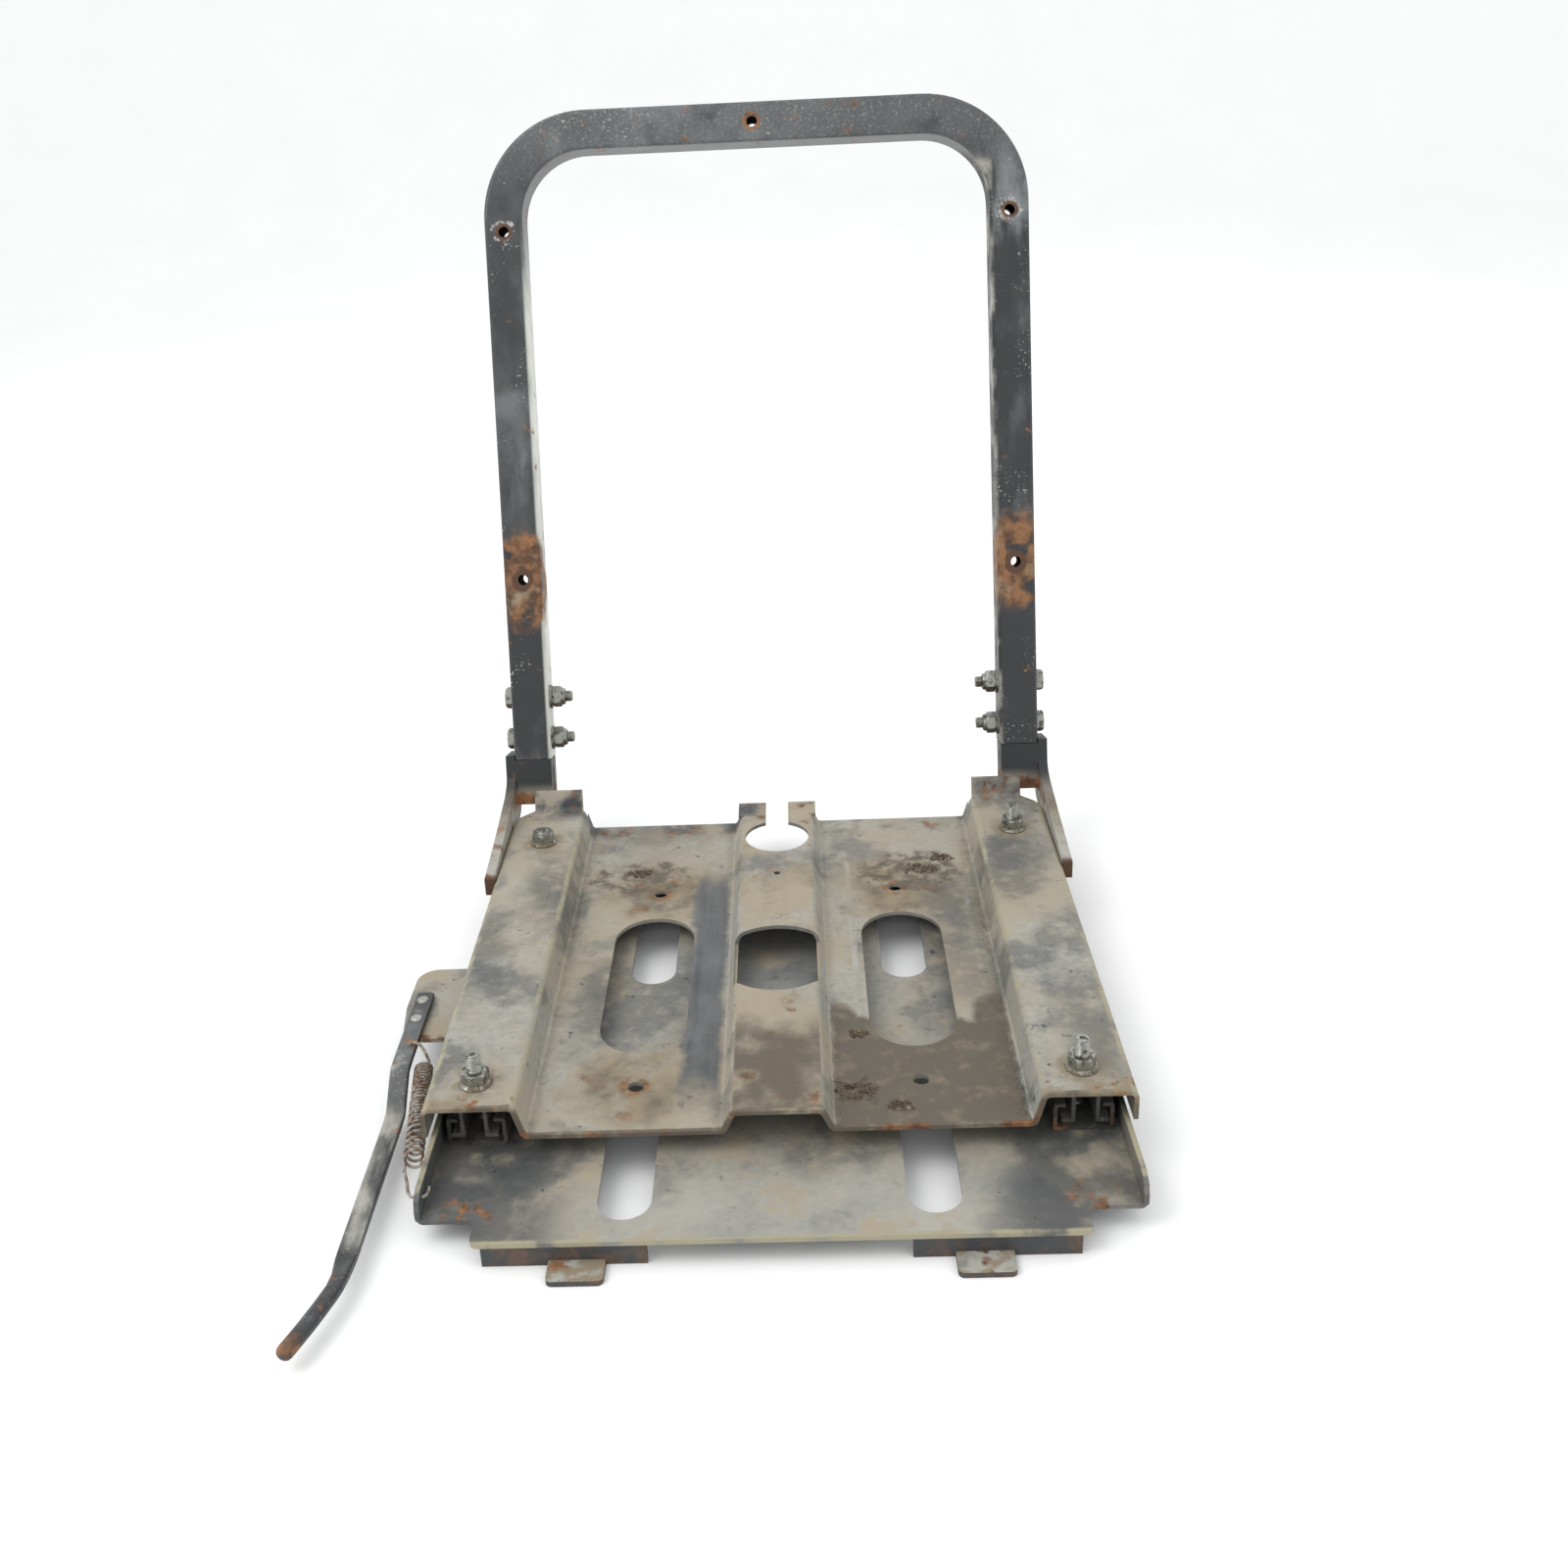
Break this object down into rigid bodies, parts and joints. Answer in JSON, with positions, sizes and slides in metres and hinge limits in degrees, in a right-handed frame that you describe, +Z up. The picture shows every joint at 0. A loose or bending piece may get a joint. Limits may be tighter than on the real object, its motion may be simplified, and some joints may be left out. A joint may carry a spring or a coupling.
{
  "type": "vehicle seat frame",
  "caption": "Steel seat frame: slotted base plate, sliding seat pan on ball rails, sprung latch lever and a bolted square-tube backrest hoop.",
  "frame": {"origin": "on the floor, under the middle of the base plate's front edge", "axes": "+X to the seat's right-hand side as seen from the front, +Y to the rear along the slide, +Z up"},
  "size_m": [0.4023, 0.5976, 0.4847],
  "materials": {
    "base_plate": "weathered black paint under beige dust",
    "tongues": "rusted black paint",
    "rails": "dark painted steel, dusty",
    "rivets": "dull steel",
    "latch": "satin black paint",
    "lever": "satin black paint, dusty",
    "spring": "rusty brown spring wire",
    "cage": "dull pressed steel",
    "balls": "bright steel",
    "pan": "weathered black paint under beige dust and mud, rust at edges",
    "bracket": "black paint with rust at the welds",
    "hoop": "satin black paint, lightly dusty",
    "zinc": "pale zinc plating"
  },
  "bodies": {
    "base": {"base_plate": "base_plate", "front_tongue_left": "tongues", "front_tongue_right": "tongues", "rear_foot_left": "tongues", "rear_foot_right": "tongues", "lower_rail_left": "rails", "lower_rail_right": "rails", "rail_rivets": "rivets", "lever_pivot": "rivets"},
    "seat": {"seat_pan": "pan", "upper_rail_left": "rails", "upper_rail_right": "rails", "gusset_left": "bracket", "gusset_right": "bracket", "bracket_stub_left": "bracket", "bracket_stub_right": "bracket", "bracket_spigot_left": "bracket", "bracket_spigot_right": "bracket", "rail_studs": "zinc", "rail_nuts": "zinc", "back_hoop": "hoop", "hoop_bolts": "zinc", "hoop_washers": "zinc", "hoop_nuts": "zinc"},
    "lever": {"latch_plate": "latch", "lever_bar": "lever", "lever_rivets": "rivets", "lever_spring": "spring"},
    "cage_left": {"ball_cage_left": "cage", "balls_left": "balls"},
    "cage_right": {"ball_cage_right": "cage", "balls_right": "balls"}
  },
  "joints": [
    {"name": "seat_slide", "type": "slide", "parent": "base", "child": "seat", "axis": [0, 1, 0], "range_m": [-0.0508, 0.0254]},
    {"name": "lever_release", "type": "hinge", "parent": "base", "child": "lever", "pos_m": [-0.1745, 0.208, 0.0234], "axis": [0, 0, -1], "range_deg": [0, 8], "stiffness_Nm_per_rad": 0.6, "springref_deg": -8.59, "deforming": ["lever_spring"]},
    {"name": "cage_left_slide", "type": "slide", "parent": "base", "child": "cage_left", "axis": [0, 1, 0], "range_m": [-0.0254, 0.0127]},
    {"name": "cage_right_slide", "type": "slide", "parent": "base", "child": "cage_right", "axis": [0, 1, 0], "range_m": [-0.0254, 0.0127]}
  ],
  "couplings": [
    {"joint": "cage_left_slide", "follows": "seat_slide", "ratio": 0.5},
    {"joint": "cage_right_slide", "follows": "seat_slide", "ratio": 0.5}
  ]
}
